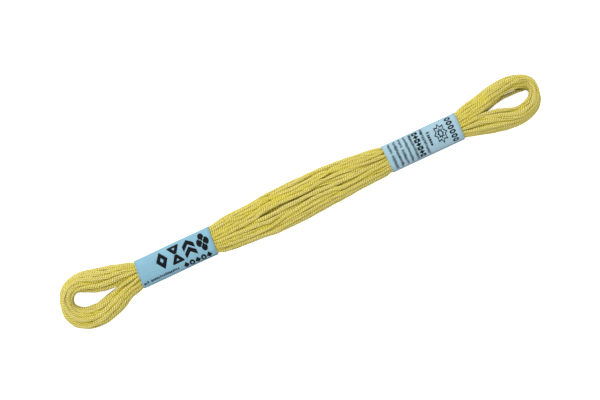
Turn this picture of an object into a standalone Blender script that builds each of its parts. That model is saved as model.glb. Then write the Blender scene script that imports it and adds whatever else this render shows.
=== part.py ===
"""A hank of six-strand embroidery floss held by two paper bands.

The floss is wound in one long flat ring and pinched by the bands, so it has a thick middle,
two waists under the bands, and an open eye at each end where its two bundles part.
The long axis is +X, the surface it lies on is z = 0, and sizes are in millimetres until
the meshes are made.
"""
import math
from collections import namedtuple

import bmesh
import bpy
import numpy as np
from mathutils import Vector

MM = 0.001

# The ring of points round the hank. Every third point is a groove between two ridges.
POINTS_PER_RIDGE = 3
BUNDLE_RIDGES = 8
SIDE_POINTS = BUNDLE_RIDGES * POINTS_PER_RIDGE
RING_POINTS = 2 * SIDE_POINTS
EYE_WALL_POINTS = 5
RIDGE_DEPTH = 0.38
NECK_RIDGE_DEPTH = 0.1

# The outline of a section: a superellipse whose underside is cut off flat by the surface.
SQUARENESS = 2.35
FLAT_SINK = 0.75

# The paper bands. The solid of a band is thicker than paper, and the extra goes inwards.
BAND_THICKNESS = 1.0
BAND_HEIGHT = 6.5
BAND_SQUARENESS = 2.7
BAND_POINTS = 40
BAND_STATIONS = 4
CLEARANCE = 0.3
NECK_STATIONS = 5
NECK_TWIST_DEG = 6.0

STATION_PITCH = 1.8
TURN_PITCH = 1.65
EYE_SHOULDER_DEG = 48.0
EYE_BLEND = 8.0
UNDERSIDE_FADE = 0.6

Band = namedtuple("Band", "name left right left_slant right_slant front back")
BANDS = (
    Band("paper_band_left", -55.4, -29.9, 0.085, 0.085, -4.17, 4.67),
    Band("paper_band_right", 29.9, 54.7, 0.06, 0.0, -4.20, 4.32),
)

# Sections of the hank outside the bands: how far it reaches to the front and back, how high
# it stands, how far its ridges are turned round the long axis, and how far it leans to the
# back for each unit of height. The hank is twisted, so its two eyes lean opposite ways.
Slice = namedtuple("Slice", "x front back top twist_deg lean")
LEFT_FLARE = (
    Slice(-64.0, -6.85, 7.20, 7.0, -6.0, -0.12),
    Slice(-60.3, -5.10, 6.14, 6.9, -2.0, -0.06),
    Slice(-56.5, -4.40, 5.05, 6.7, 3.0, 0.0),
)
MIDDLE = (
    Slice(-29.0, -4.45, 4.95, 6.6, 9.0, 0.0),
    Slice(-22.7, -5.20, 5.55, 6.8, 16.0, 0.0),
    Slice(-15.2, -5.74, 5.77, 7.0, 17.0, 0.0),
    Slice(-7.7, -6.11, 6.36, 7.1, 10.0, 0.0),
    Slice(-0.2, -5.93, 6.71, 7.1, 4.0, 0.0),
    Slice(7.3, -5.58, 7.02, 7.1, 0.0, 0.0),
    Slice(14.8, -5.27, 6.24, 7.0, 0.0, 0.0),
    Slice(22.3, -4.70, 5.46, 6.8, 1.0, 0.0),
    Slice(29.1, -4.50, 4.60, 6.6, 3.0, 0.0),
)
RIGHT_FLARE = (
    Slice(55.4, -4.50, 4.60, 6.6, 5.0, 0.0),
    Slice(59.8, -5.33, 5.58, 6.8, 4.0, 0.07),
    Slice(65.4, -7.10, 6.65, 7.0, 5.5, 0.14),
)

# The bundle as it goes round each eye, from the back of the hank to its front: the middle
# of the bundle, half its width across its own path, its height and its lean.
Turn = namedtuple("Turn", "x y half_width top lean")
LEFT_EYE = (
    Turn(-64.0, 3.40, 3.70, 7.0, -0.12),
    Turn(-67.8, 4.05, 3.55, 7.0, -0.16),
    Turn(-71.5, 5.05, 3.25, 7.1, -0.20),
    Turn(-75.2, 5.80, 2.60, 7.2, -0.24),
    Turn(-78.6, 4.55, 2.30, 7.3, -0.26),
    Turn(-80.2, 1.10, 2.25, 7.4, -0.27),
    Turn(-79.2, -2.60, 2.70, 7.3, -0.27),
    Turn(-76.0, -4.95, 3.20, 7.2, -0.25),
    Turn(-71.5, -5.40, 3.20, 7.1, -0.21),
    Turn(-67.8, -4.55, 3.20, 7.0, -0.16),
    Turn(-64.0, -3.70, 3.10, 7.0, -0.12),
)
RIGHT_EYE = (
    Turn(65.4, 3.65, 3.00, 7.0, 0.14),
    Turn(69.2, 4.45, 3.00, 7.0, 0.20),
    Turn(72.9, 4.80, 2.80, 7.1, 0.26),
    Turn(76.6, 4.45, 2.55, 7.2, 0.29),
    Turn(79.5, 2.85, 2.20, 7.3, 0.30),
    Turn(80.6, 0.00, 2.05, 7.3, 0.30),
    Turn(79.2, -2.85, 2.20, 7.2, 0.29),
    Turn(76.0, -4.35, 2.45, 7.1, 0.27),
    Turn(72.9, -4.75, 2.65, 7.0, 0.24),
    Turn(69.2, -4.20, 3.05, 7.0, 0.19),
    Turn(65.4, -3.45, 3.45, 7.0, 0.14),
)

# The deep grooves where the threads part. A ridge line is counted from the top middle of
# the hank, positive towards the back.
Groove = namedtuple("Groove", "ridge_line start end depth")
GROOVES = (
    Groove(0, -23.0, 14.0, 1.0),
    Groove(2, -3.0, 18.0, 0.6),
    Groove(-1, 2.0, 16.0, 0.6),
    Groove(-1, -24.0, -9.0, 0.6),
    Groove(0, -64.5, -58.0, 0.8),
    Groove(0, 58.5, 66.0, 0.8),
)

FLOSS_COLOUR = (0.58, 0.47, 0.09, 1.0)
PAPER_COLOUR = (0.277, 0.533, 0.662, 1.0)


def smooth_rows(rows, steps):
    """Rows at the given steps along a table, on a smooth curve through its rows."""
    table = np.array(rows, dtype=float)
    padded = np.vstack([2 * table[0] - table[1], table, 2 * table[-1] - table[-2]])
    found = []
    for step in steps:
        i = min(int(step), len(rows) - 2)
        t = step - i
        before, here, after, beyond = padded[i : i + 4]
        found.append(
            here
            + 0.5 * t * (after - before)
            + t * t * (before - 2.5 * here + 2 * after - 0.5 * beyond)
            + 0.5 * t**3 * (3 * (here - after) + beyond - before)
        )
    return [type(rows[0])(*row) for row in found]


def steps_at_pitch(rows, columns, pitch):
    """Even steps along a table so that its rows lie about one pitch apart."""
    places = np.array(rows, dtype=float)[:, :columns]
    reach = np.concatenate([[0], np.cumsum(np.linalg.norm(np.diff(places, axis=0), axis=1))])
    count = max(2, round(reach[-1] / pitch) + 1)
    wanted = np.linspace(0, reach[-1], count)
    return np.interp(wanted, reach, np.arange(len(rows)))


def rounded(angle, half_width, half_height, squareness):
    """A point of a superellipse, as its sideways and upward reach."""
    side, up = math.sin(angle), math.cos(angle)
    power = 2 / squareness
    return (
        math.copysign(abs(side) ** power, side) * half_width,
        math.copysign(abs(up) ** power, up) * half_height,
    )


def cut_flat(angle, half_width, bottom, top, inset, squareness=SQUARENESS):
    """A point of a section that stands on its flat underside, pushed in by the inset."""
    half_height = (top - bottom + FLAT_SINK) / 2
    middle = top - half_height
    side, up = rounded(angle, half_width - inset, half_height - inset, squareness)
    return side, max(middle + up, bottom)


def groove_depth(index, x, ridge_depth):
    """How far a point of the ring lies below the crests of the ridges."""
    if index % POINTS_PER_RIDGE:
        return 0.0
    line = index // POINTS_PER_RIDGE
    if line > BUNDLE_RIDGES:
        line -= 2 * BUNDLE_RIDGES
    deepest = ridge_depth
    for groove in GROOVES:
        if groove.ridge_line == line and groove.start < x < groove.end:
            along = (x - groove.start) / (groove.end - groove.start)
            deepest = max(deepest, groove.depth * math.sin(math.pi * along) ** 0.5)
    return deepest


def ridge_fade(angle):
    """1 on the top and the sides of a section, and 0 underneath, where the threads lie flat."""
    return min(1.0, max(0.0, 1.0 + math.cos(angle) / UNDERSIDE_FADE))


def hank_ring(piece, bottom, ridge_depth, slant):
    """The points round one section, from its top middle over the back, under and up the front."""
    middle = (piece.front + piece.back) / 2
    half_width = (piece.back - piece.front) / 2
    ring = []
    for index in range(RING_POINTS):
        angle = 2 * math.pi * index / RING_POINTS
        turned = angle + math.radians(piece.twist_deg) * (1 + math.cos(angle)) / 2
        inset = groove_depth(index, piece.x, ridge_depth) * ridge_fade(angle)
        side, up = cut_flat(turned, half_width, bottom, piece.top, inset)
        y = middle + side + piece.lean * (up - piece.top / 2)
        ring.append(Vector((piece.x + slant * y, y, up)))
    return ring


def neck_rings(band):
    """The sections inside a band, drawn in clear of it."""
    gap = BAND_THICKNESS + CLEARANCE
    top = BAND_HEIGHT - gap
    rings = []
    for share in np.linspace(0, 1, NECK_STATIONS):
        x = (band.left - CLEARANCE) * (1 - share) + (band.right + CLEARANCE) * share
        slant = band.left_slant * (1 - share) + band.right_slant * share
        piece = Slice(x, band.front + gap, band.back - gap, top, NECK_TWIST_DEG, 0.0)
        rings.append(hank_ring(piece, gap, NECK_RIDGE_DEPTH, slant))
    return rings


def free_rings(rows, start_slant, end_slant):
    """The sections of a free stretch, whose slant goes from one band's to the next."""
    pieces = smooth_rows(rows, steps_at_pitch(rows, 1, STATION_PITCH))
    rings = []
    for piece in pieces:
        share = (piece.x - rows[0].x) / (rows[-1].x - rows[0].x)
        slant = start_slant * (1 - share) + end_slant * share
        rings.append(hank_ring(piece, 0.0, RIDGE_DEPTH, slant))
    return rings


def eye_angles():
    """The angles of the points round a bundle: over its outer side, then up its eye wall."""
    shoulder = math.radians(EYE_SHOULDER_DEG)
    outer = np.linspace(-shoulder, math.pi + shoulder, SIDE_POINTS + 1)
    wall = np.linspace(math.pi + shoulder, 2 * math.pi - shoulder, EYE_WALL_POINTS + 2)
    return list(outer) + list(wall[1:-1])


def eye_rings(rows):
    """The sections of the bundle round an eye, from one end in the hank to the other."""
    turns = smooth_rows(rows, steps_at_pitch(rows, 2, TURN_PITCH))
    inside = Vector((rows[0].x, 0, 0))
    rings = []
    for i, turn in enumerate(turns):
        before, after = turns[max(i - 1, 0)], turns[min(i + 1, len(turns) - 1)]
        along = Vector((after.x - before.x, after.y - before.y, 0)).normalized()
        outward = along.cross(Vector((0, 0, 1)))
        if outward.dot(Vector((turn.x, turn.y, 0)) - inside) < 0:
            outward = -outward
        ring = []
        for index, angle in enumerate(eye_angles()):
            inset = 0.0 if index % POINTS_PER_RIDGE else RIDGE_DEPTH * ridge_fade(angle)
            side, up = cut_flat(angle, turn.half_width, 0.0, turn.top, inset)
            leaning = turn.lean * (up - turn.top / 2)
            ring.append(Vector((turn.x, turn.y + leaning, up)) + outward * side)
        rings.append(ring)
    return rings


def eased_into(rings, back, front):
    """The rings moved to start at the back ring and end at the front one, easing off between."""
    count = len(rings)
    eased = []
    for i, ring in enumerate(rings):
        near_back = max(0.0, 1 - i * TURN_PITCH / EYE_BLEND) ** 2
        near_front = max(0.0, 1 - (count - 1 - i) * TURN_PITCH / EYE_BLEND) ** 2
        points = []
        for point, first, last, at_back, at_front in zip(ring, rings[0], rings[-1], back, front):
            moved = point + (at_back - first) * near_back + (at_front - last) * near_front
            moved.z = max(moved.z, 0.0)
            points.append(moved)
        eased.append(points)
    return eased


def add_ring(mesh, ring):
    return [mesh.verts.new(point * MM) for point in ring]


def bridge(mesh, ring, following):
    """Joins two rings of as many points with a closed strip of faces."""
    count = len(ring)
    for i in range(count):
        j = (i + 1) % count
        mesh.faces.new((ring[i], ring[j], following[j], following[i]))


def close_eye(mesh, body_end, rows):
    """Joins the back half of the hank's last section to its front half, round an eye."""
    top, bottom = body_end[0], body_end[SIDE_POINTS]
    wall = [
        mesh.verts.new(bottom.co.lerp(top.co, (i + 1) / (EYE_WALL_POINTS + 1)))
        for i in range(EYE_WALL_POINTS)
    ]
    back = body_end[: SIDE_POINTS + 1] + wall
    front = [top] + body_end[: SIDE_POINTS - 1 : -1] + wall
    back_points = [vertex.co / MM for vertex in back]
    front_points = [vertex.co / MM for vertex in front]
    last = back
    for ring in eased_into(eye_rings(rows), back_points, front_points)[1:-1]:
        made = add_ring(mesh, ring)
        bridge(mesh, last, made)
        last = made
    bridge(mesh, last, front)


def material(name, colour, roughness):
    made = bpy.data.materials.new(name)
    made.use_nodes = True
    shader = made.node_tree.nodes["Principled BSDF"]
    shader.inputs["Base Color"].default_value = colour
    shader.inputs["Roughness"].default_value = roughness
    shader.inputs["Metallic"].default_value = 0.0
    return made


def finished(mesh, name, surface):
    """Turns a mesh under construction into a named object."""
    bmesh.ops.recalc_face_normals(mesh, faces=mesh.faces)
    data = bpy.data.meshes.new(name)
    mesh.to_mesh(data)
    mesh.free()
    data.materials.append(surface)
    data.shade_smooth()
    made = bpy.data.objects.new(name, data)
    bpy.context.scene.collection.objects.link(made)
    return made


def floss_hank(surface):
    left_band, right_band = BANDS
    rings = (
        free_rings(LEFT_FLARE, 0.0, left_band.left_slant)
        + neck_rings(left_band)
        + free_rings(MIDDLE, left_band.right_slant, right_band.left_slant)
        + neck_rings(right_band)
        + free_rings(RIGHT_FLARE, right_band.right_slant, 0.0)
    )
    mesh = bmesh.new()
    body = [add_ring(mesh, ring) for ring in rings]
    for ring, following in zip(body, body[1:]):
        bridge(mesh, ring, following)
    close_eye(mesh, body[0], LEFT_EYE)
    close_eye(mesh, body[-1], RIGHT_EYE)
    return finished(mesh, "floss_hank", surface)


def paper_band(band, surface):
    """A closed ring of paper round the hank, flat where it lies on the surface."""
    middle = (band.front + band.back) / 2
    half_width = (band.back - band.front) / 2
    mesh = bmesh.new()
    walls = []
    for depth in (0.0, BAND_THICKNESS):
        wall = []
        for share in np.linspace(0, 1, BAND_STATIONS):
            x = band.left * (1 - share) + band.right * share
            slant = band.left_slant * (1 - share) + band.right_slant * share
            ring = []
            for angle in np.linspace(0, 2 * math.pi, BAND_POINTS, endpoint=False):
                side, up = cut_flat(
                    angle, half_width - depth, depth, BAND_HEIGHT - depth, 0.0, BAND_SQUARENESS
                )
                y = middle + side
                ring.append(Vector((x + slant * y, y, up)))
            wall.append(add_ring(mesh, ring))
        walls.append(wall)
    outer, inner = walls
    for wall in walls:
        for ring, following in zip(wall, wall[1:]):
            bridge(mesh, ring, following)
    bridge(mesh, outer[0], inner[0])
    bridge(mesh, outer[-1], inner[-1])
    return finished(mesh, band.name, surface)


def centre_on_surface(objects):
    """Moves the objects so that the middle of their box stands at the origin."""
    corners = [made.matrix_world @ vertex.co for made in objects for vertex in made.data.vertices]
    low = Vector([min(corner[axis] for corner in corners) for axis in range(3)])
    high = Vector([max(corner[axis] for corner in corners) for axis in range(3)])
    shift = Vector((-(low.x + high.x) / 2, -(low.y + high.y) / 2, -low.z))
    for made in objects:
        for vertex in made.data.vertices:
            vertex.co += shift


def build():
    for old in list(bpy.data.objects):
        bpy.data.objects.remove(old)
    floss = material("cotton_floss", FLOSS_COLOUR, 0.7)
    paper = material("band_paper", PAPER_COLOUR, 0.6)
    made = [floss_hank(floss)]
    for band in BANDS:
        made.append(paper_band(band, paper))
    centre_on_surface(made)


build()
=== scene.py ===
"""Looks for a hank of six-strand embroidery floss with two printed paper bands.

The floss is wound from 24 closed turns of thread. The turns are packed side by side in the
form of the hank, then swept into six-strand threads. The bands are thin printed paper.
Sizes are in millimetres until the meshes are made.
"""

import math
from collections import namedtuple

import bpy
import numpy as np
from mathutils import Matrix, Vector
from mathutils.geometry import delaunay_2d_cdt

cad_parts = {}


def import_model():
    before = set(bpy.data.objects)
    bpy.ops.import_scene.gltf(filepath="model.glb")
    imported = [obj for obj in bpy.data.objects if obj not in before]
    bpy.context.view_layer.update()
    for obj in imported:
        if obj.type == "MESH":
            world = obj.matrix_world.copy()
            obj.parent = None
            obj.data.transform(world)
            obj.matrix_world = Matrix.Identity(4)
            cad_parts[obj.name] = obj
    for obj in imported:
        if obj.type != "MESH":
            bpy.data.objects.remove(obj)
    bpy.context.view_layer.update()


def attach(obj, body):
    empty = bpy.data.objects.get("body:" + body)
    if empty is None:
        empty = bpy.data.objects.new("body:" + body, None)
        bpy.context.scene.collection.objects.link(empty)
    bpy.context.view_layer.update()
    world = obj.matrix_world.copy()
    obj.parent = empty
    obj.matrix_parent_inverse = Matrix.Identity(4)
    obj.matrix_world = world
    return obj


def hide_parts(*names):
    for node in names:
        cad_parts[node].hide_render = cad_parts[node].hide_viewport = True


MM = 0.001
UP = np.array([0.0, 0.0, 1.0])

# The winding: its turns, how far apart the stations are that they pass, and how much of a
# section the threads fill.
TURNS = 24
TURNS_IN_A_PIECE = 3
STATION_PITCH = 1.7
SLOT_WANDER = 0.10
THREAD_SHARE = 0.87
FILL_SHARE = 0.84
RADIUS_RANGE = (0.93, 1.06)
SMOOTHING_ROUNDS = 4

# How the turns settle. They grow from START_SIZE to their full size in the first rounds, and
# in each round they go a share of the way to where they would lie straight, near their own
# slots, clear of each other and clear of the partings.
SETTLING_ROUNDS = 220
GROWING_SHARE = 0.6
START_SIZE = 0.35
STRAIGHTENING = 0.5
LAST_STRAIGHTENING = 0.75
BEND_REACH = 5
BEND_SPREAD = 2.0
HOMING = 0.03
HOMING_STOPS = 0.9
PUSHES_A_ROUND = 3
PUSH_SHARE = 0.35
PART_SHARE = 0.5
SLIT_SHARE = 0.6
MOST_MOVED = 0.4

# How squarely a station faces the back or the front where partings reach it.
FACING = 0.5

# The outline of a section: a superellipse whose underside is cut off flat by the surface.
SQUARENESS = 2.35
FLAT_SINK = 0.75
BAND_SQUARENESS = 2.7

# How far past a band's edges the threads are held in, and how much smaller they lie there.
PAPER_HOLD = 1.0
HOLD_FADE = 0.8
ROOM_UNDER_PAPER = 0.24
RISE_UNDER_PAPER = 0.36

# A thread: six strands laid slowly and unevenly round each other, each of two plies with a
# fine twist. Shares are of the radius of the thread. In the eyes the strands lie looser.
STRANDS = 6
LAYS = (10, 19)
LAY_REACH = 0.56
LAY_UNEVEN = 0.12
THREAD_TURN = 0.6
STRAND_TURN = 0.3
STRAND_SHARE = 0.36
STRAND_RANGE = (0.95, 1.05)
STRAND_PLUMPNESS = 1.19
STRAND_ROUNDS = 12
COHESION = 0.35
EYE_SPREAD = 0.8
EYE_REACH = 0.22
EYES_START = 57.0
EYES_FULL = 63.0
SWAY = 0.022
PLY_LENGTH = 0.75
PLY_UNEVEN = 0.1
PLY_START = 0.35

# How crowded a strand is: how far off others count, in its own radii, and how many of them lie round it on a
# crest and deep in a groove. The floss material paints shade on the crowded strands down in the grooves and
# keeps its painted highlight to the open ones.
CROWD_REACH = 3.6
CROWD_OPEN = 4.4
CROWD_DEEP = 8.4

# The strands' meshes, and the rows that each one fills in its bake map.
COLUMNS = 7
SWEEP_PITCH = 0.9
CURVE_STEPS = 8
BAKE_ROWS_A_STRAND = 3
ROW_END = 0.004
ROW_SIDE = 0.04

# The loose fibres that stand out from the outer strands: how far from the middle of the
# bundle and how high up they start.
HAIRS = 2200
HAIR_RADIUS = 0.013
HAIR_STEPS = 6
HAIR_SIDES = 3
HAIR_DEPTH = 1.9
LOWEST_HAIR = 0.6

# The paper and how it is wrapped.
PAPER_THICKNESS = 0.12
BAND_TOP = 6.5
GLUED_OVERLAP = 3.0
SEAM_ANGLE_DEG = -74.0
WRAP_PLACES = 1201
STRIP_ROWS = 104
STRIP_COLUMNS = 23
CLEAR_OF_MARKS = 0.16
SMALLEST_TRIANGLE = 1e-7

# How far the paper stands out: fine wrinkles and slow swells, its cut edges, its inner end,
# which is tucked down, and its outer end, which is glued over that.
WRINKLES, WRINKLE_HEIGHT = 14, 0.009
SWELLS, SWELL_HEIGHT = 5, 0.015
EDGE_LIFT, EDGE_REACH = 0.07, 0.7
TUCK_DEPTH, TUCK_START, TUCK_LENGTH = 0.05, 0.1, 1.3
GLUE_ROOM, GLUED_RISE = 0.1, 4.5

# Sections of the straight part of the hank: how far it reaches to the front and back, how
# high it stands, where its two bundles meet, and how far it leans to the back for each unit
# of height.
Slice = namedtuple("Slice", "x front back top seam lean", defaults=(0.0,))
HANK = [Slice(*row) for row in (
    (-64.0, -7.75, 7.62, 7.0, -0.55, -0.12),
    (-60.3, -5.42, 6.34, 6.9, -0.30, -0.06),
    (-57.2, -4.80, 5.12, 6.6, 0.00),
    (-55.4, -4.25, 4.72, 6.5, 0.10),
    (-42.5, -4.25, 4.72, 6.5, 0.30),
    (-30.0, -4.30, 4.72, 6.5, 0.80),
    (-28.0, -4.88, 4.95, 6.6, 1.00),
    (-22.7, -5.55, 5.62, 6.8, 1.60),
    (-15.2, -6.22, 5.80, 7.0, 1.66),
    (-11.5, -6.72, 6.28, 7.1, 1.40),
    (-7.7, -6.66, 6.48, 7.1, 1.20),
    (-0.2, -6.42, 6.70, 7.1, 0.75),
    (7.3, -6.00, 6.74, 7.1, 0.50),
    (14.8, -5.56, 6.28, 7.0, 0.40),
    (22.3, -5.04, 5.44, 6.8, 0.30),
    (28.4, -4.80, 4.70, 6.6, 0.20),
    (30.2, -4.42, 4.36, 6.5, 0.15),
    (42.5, -4.42, 4.36, 6.5, 0.10),
    (54.6, -4.42, 4.36, 6.5, 0.10),
    (56.4, -4.72, 4.78, 6.6, 0.15),
    (59.8, -5.62, 5.68, 6.8, 0.40, 0.07),
    (65.4, -7.72, 6.92, 7.0, 0.85, 0.14),
)]

# The bundle as it goes round each eye, from the back of the hank to its front: the middle
# of the bundle, half its width across its own path, its height and its lean.
Turn = namedtuple("Turn", "x y half_width top lean")
LEFT_EYE = [Turn(*row) for row in (
    (-64.0, 3.55, 3.97, 7.0, -0.12),
    (-67.8, 4.08, 3.88, 7.0, -0.16),
    (-71.5, 5.34, 3.38, 7.1, -0.20),
    (-75.2, 5.82, 2.50, 7.2, -0.24),
    (-78.25, 4.30, 2.32, 7.3, -0.26),
    (-79.75, 1.00, 2.20, 7.4, -0.27),
    (-79.08, -2.66, 2.98, 7.3, -0.27),
    (-76.10, -5.18, 3.54, 7.2, -0.25),
    (-71.5, -5.86, 3.44, 7.1, -0.21),
    (-67.8, -5.06, 3.44, 7.0, -0.16),
    (-64.0, -4.15, 3.60, 7.0, -0.12),
)]
RIGHT_EYE = [Turn(*row) for row in (
    (65.4, 3.90, 3.05, 7.0, 0.14),
    (69.2, 4.52, 2.96, 7.0, 0.20),
    (72.9, 4.82, 2.90, 7.1, 0.26),
    (76.6, 4.46, 2.74, 7.2, 0.29),
    (79.85, 3.08, 2.12, 7.3, 0.30),
    (80.80, 0.30, 1.56, 7.3, 0.30),
    (79.25, -2.90, 2.36, 7.2, 0.29),
    (76.0, -4.56, 2.60, 7.1, 0.27),
    (72.9, -5.00, 2.74, 7.0, 0.24),
    (69.2, -4.25, 3.42, 7.0, 0.19),
    (65.4, -3.38, 4.34, 7.0, 0.14),
)]

# The thread that lies apart from the others on the back side of the right eye, by its middle.
Loose = namedtuple("Loose", "x y height")
LOOSE_RUN = [Loose(*row) for row in (
    (65.0, 1.20, 1.8),
    (68.0, 1.74, 2.0),
    (70.0, 2.02, 2.6),
    (72.0, 2.08, 3.1),
    (74.0, 2.00, 3.2),
    (76.0, 1.82, 2.8),
    (78.0, 1.56, 2.3),
    (80.0, 1.26, 2.1),
)]
LOOSE_SLIMNESS = 0.2
LOOSE_START, LOOSE_END, LOOSE_FADE = 65.0, 81.0, 2.5
LOOSE_PITCH = 0.5
FINDING_ROUNDS = 4

# Places in the middle and in the eyes where neighbouring threads part and leave a dark
# groove, from one end to the other, with its depth below the top and half its width.
Parting = namedtuple("Parting", "x0 y0 x1 y1 depth half_gap")
PARTINGS = [Parting(*row) for row in (
    (-13.5, 1.34, 6.5, 1.06, 2.4, 0.18),
    (-16.5, -0.95, -5.0, -1.55, 1.8, 0.08),
    (-6.0, -1.50, 4.0, -0.10, 1.6, 0.05),
    (-6.5, 4.90, 15.0, 4.65, 1.6, 0.05),
    (6.0, 2.15, 22.5, 1.40, 2.2, 0.12),
    (10.0, -2.20, 26.0, -0.45, 1.6, 0.05),
    (-17.0, -3.05, -10.0, -3.60, 1.5, 0.08),
    (-29.0, 2.55, -21.5, 2.95, 1.4, 0.03),
    (-15.5, 3.50, -8.5, 4.15, 1.4, 0.05),
    (-71.0, 5.20, -62.0, 5.00, 1.2, 0.02),
    (-67.5, 3.15, -56.5, 2.65, 1.6, 0.05),
    (-63.5, 1.60, -55.5, 1.20, 2.0, 0.08),
    (-70.5, -5.00, -57.0, -0.90, 2.2, 0.10),
    (-66.0, -6.40, -57.5, -3.30, 1.6, 0.05),
    (60.5, 1.50, 69.0, 3.80, 2.0, 0.06),
    (56.0, -2.60, 70.5, -4.90, 2.0, 0.07),
    (61.0, 0.10, 73.0, -3.60, 2.0, 0.06),
)]
EYE_SLIT = Parting(69.5, 2.66, 78.5, 2.56, 9.0, 0.28)

Band = namedtuple("Band", "name left right left_slant right_slant front back")
LEFT_BAND = Band("paper_band_left", -55.4, -29.9, 0.07, 0.085, -4.33, 4.74)
RIGHT_BAND = Band("paper_band_right", 30.0, 54.9, -0.026, 0.03, -4.50, 4.38)
BANDS = (LEFT_BAND, RIGHT_BAND)


# ---------------------------------------------------------------- the form of the hank


def on_curve(before, here, after, beyond, share):
    """Places on a smooth curve through four others, a share of the way from the second on."""
    return (
        here
        + 0.5 * share * (after - before)
        + share**2 * (before - 2.5 * here + 2 * after - 0.5 * beyond)
        + 0.5 * share**3 * (3 * (here - after) + beyond - before)
    )


def smooth_rows(rows, steps):
    """Columns of a table read at the given steps, on a smooth curve through its rows."""
    table = np.array(rows, dtype=float)
    padded = np.vstack([2 * table[0] - table[1], table, 2 * table[-1] - table[-2]])
    first = np.minimum(steps.astype(int), len(rows) - 2)
    found = on_curve(*(padded[first + i] for i in range(4)), (steps - first)[:, None])
    return type(rows[0])(*found.T)


def reach_along(places):
    """How far along an open path each of its places lies."""
    return np.concatenate([[0], np.cumsum(np.linalg.norm(np.diff(places, axis=0), axis=1))])


def steps_at_pitch(rows, columns, pitch):
    """Even steps along a table so that its rows lie about one pitch apart."""
    reach = reach_along(np.array(rows, dtype=float)[:, :columns])
    count = max(2, round(reach[-1] / pitch) + 1)
    return np.interp(np.linspace(0, reach[-1], count), reach, np.arange(len(rows)))


def round_angles(count):
    """So many angles spread evenly round a circle."""
    return 2 * math.pi * np.arange(count) / count


def eased(share):
    """A share from 0 to 1 with soft ends."""
    share = np.clip(share, 0.0, 1.0)
    return share * share * (3 - 2 * share)


def under_paper(x):
    """1 where the threads at x lie under a band, and 0 outside, softly."""
    share = np.zeros_like(x)
    for band in BANDS:
        inside = np.minimum(x - band.left + PAPER_HOLD, band.right + PAPER_HOLD - x)
        share = np.maximum(share, eased(inside / HOLD_FADE))
    return share


Section = namedtuple("Section", "middle half_width bottom top squareness lean")


def hank_section(body):
    """The outlines that the threads of both bundles fill, along the straight part."""
    wrapped = under_paper(body.x)
    inset = wrapped * ROOM_UNDER_PAPER
    return Section(
        middle=(body.front + body.back) / 2,
        half_width=(body.back - body.front) / 2 - inset,
        bottom=wrapped * RISE_UNDER_PAPER,
        top=body.top - inset,
        squareness=SQUARENESS + wrapped * (BAND_SQUARENESS - SQUARENESS),
        lean=body.lean,
    )


def eye_section(eye, outward):
    """The outlines that the threads of one bundle fill, round an eye."""
    return Section(
        middle=np.zeros_like(eye.x),
        half_width=eye.half_width,
        bottom=np.zeros_like(eye.x),
        top=eye.top,
        squareness=np.full_like(eye.x, SQUARENESS),
        lean=eye.lean * outward[:, 1],
    )


def thread_radius(section, threads):
    """The radius at which so many threads fill a section."""
    area = FILL_SHARE * 2 * section.half_width * (section.top - section.bottom)
    return np.sqrt(area * THREAD_SHARE / (math.pi * threads))


def unit(rows):
    """Rows of directions, each made 1 long."""
    return rows / np.linalg.norm(rows, axis=1)[:, None]


def directions(places):
    """The directions in which a closed path runs at its places."""
    return unit(np.roll(places, -1, axis=0) - np.roll(places, 1, axis=0))


class Winding:
    """The ring of stations that every turn passes, and what the stations' sections allow.

    It runs along the back bundle, round the right eye, back along the front bundle and
    round the left eye. A thread's place at a station is its distance outwards from the
    middle of the bundle, and its height.
    """

    def __init__(self):
        body = smooth_rows(HANK, steps_at_pitch(HANK, 1, STATION_PITCH))
        right, left = (
            Turn(*(c[1:-1][::way] for c in smooth_rows(eye, steps_at_pitch(eye, 2, STATION_PITCH))))
            for eye, way in ((RIGHT_EYE, 1), (LEFT_EYE, -1))
        )
        count, round_eye = len(body.x), len(right.x)
        self.x = np.concatenate([body.x, right.x, body.x[::-1], left.x])
        back_y, front_y = (body.seam + body.back) / 2, (body.seam + body.front) / 2
        self.y = np.concatenate([back_y, right.y, front_y[::-1], left.y])
        self.back = np.arange(count)
        self.right = count + np.arange(round_eye)
        self.front = count + round_eye + np.arange(count)[::-1]
        self.left = 2 * count + round_eye + np.arange(len(left.x))
        along = directions(np.stack([self.x, self.y], axis=1))
        self.outward = np.stack([-along[:, 1], along[:, 0]], axis=1)
        self.outward[self.back] = (0.0, 1.0)
        self.outward[self.front] = (0.0, -1.0)
        self.body_section = hank_section(body)
        self.eye_sections = (
            (self.right, eye_section(right, self.outward[self.right])),
            (self.left, eye_section(left, self.outward[self.left])),
        )
        self.half_width, self.top, self.radius = np.empty((3, len(self.x)))
        body_radius = thread_radius(self.body_section, 2 * TURNS)
        bundles = [
            (self.back, (body.back - body.seam) / 2, body.top, body_radius),
            (self.front, (body.seam - body.front) / 2, body.top, body_radius),
        ]
        for stations, section in self.eye_sections:
            bundles.append((stations, section.half_width, section.top, thread_radius(section, TURNS)))
        for stations, half_width, top, radius in bundles:
            self.half_width[stations] = half_width
            self.top[stations] = top
            self.radius[stations] = radius
        for _ in range(SMOOTHING_ROUNDS):
            self.radius = (np.roll(self.radius, 1) + 2 * self.radius + np.roll(self.radius, -1)) / 4
        self.slit_stations = self.right[self.outward[self.right, 1] > FACING]
        self.loose_share, self.loose_places = self.loose_run()

    def loose_run(self):
        """How closely the loose thread keeps to its own way at each station, and where it lies."""
        way = smooth_rows(LOOSE_RUN, steps_at_pitch(LOOSE_RUN, 1, LOOSE_PITCH))
        share = np.zeros_like(self.x)
        places = np.zeros((len(self.x), 2))
        for station in self.slit_stations:
            outward = self.outward[station]
            out = 0.0
            for _ in range(FINDING_ROUNDS):
                x = self.x[station] + out * outward[0]
                out = (np.interp(x, way.x, way.y) - self.y[station]) / outward[1]
            share[station] = eased((x - LOOSE_START) / LOOSE_FADE) * eased((LOOSE_END - x) / LOOSE_FADE)
            places[station] = out, np.interp(x, way.x, way.height)
        return share, places


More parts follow.
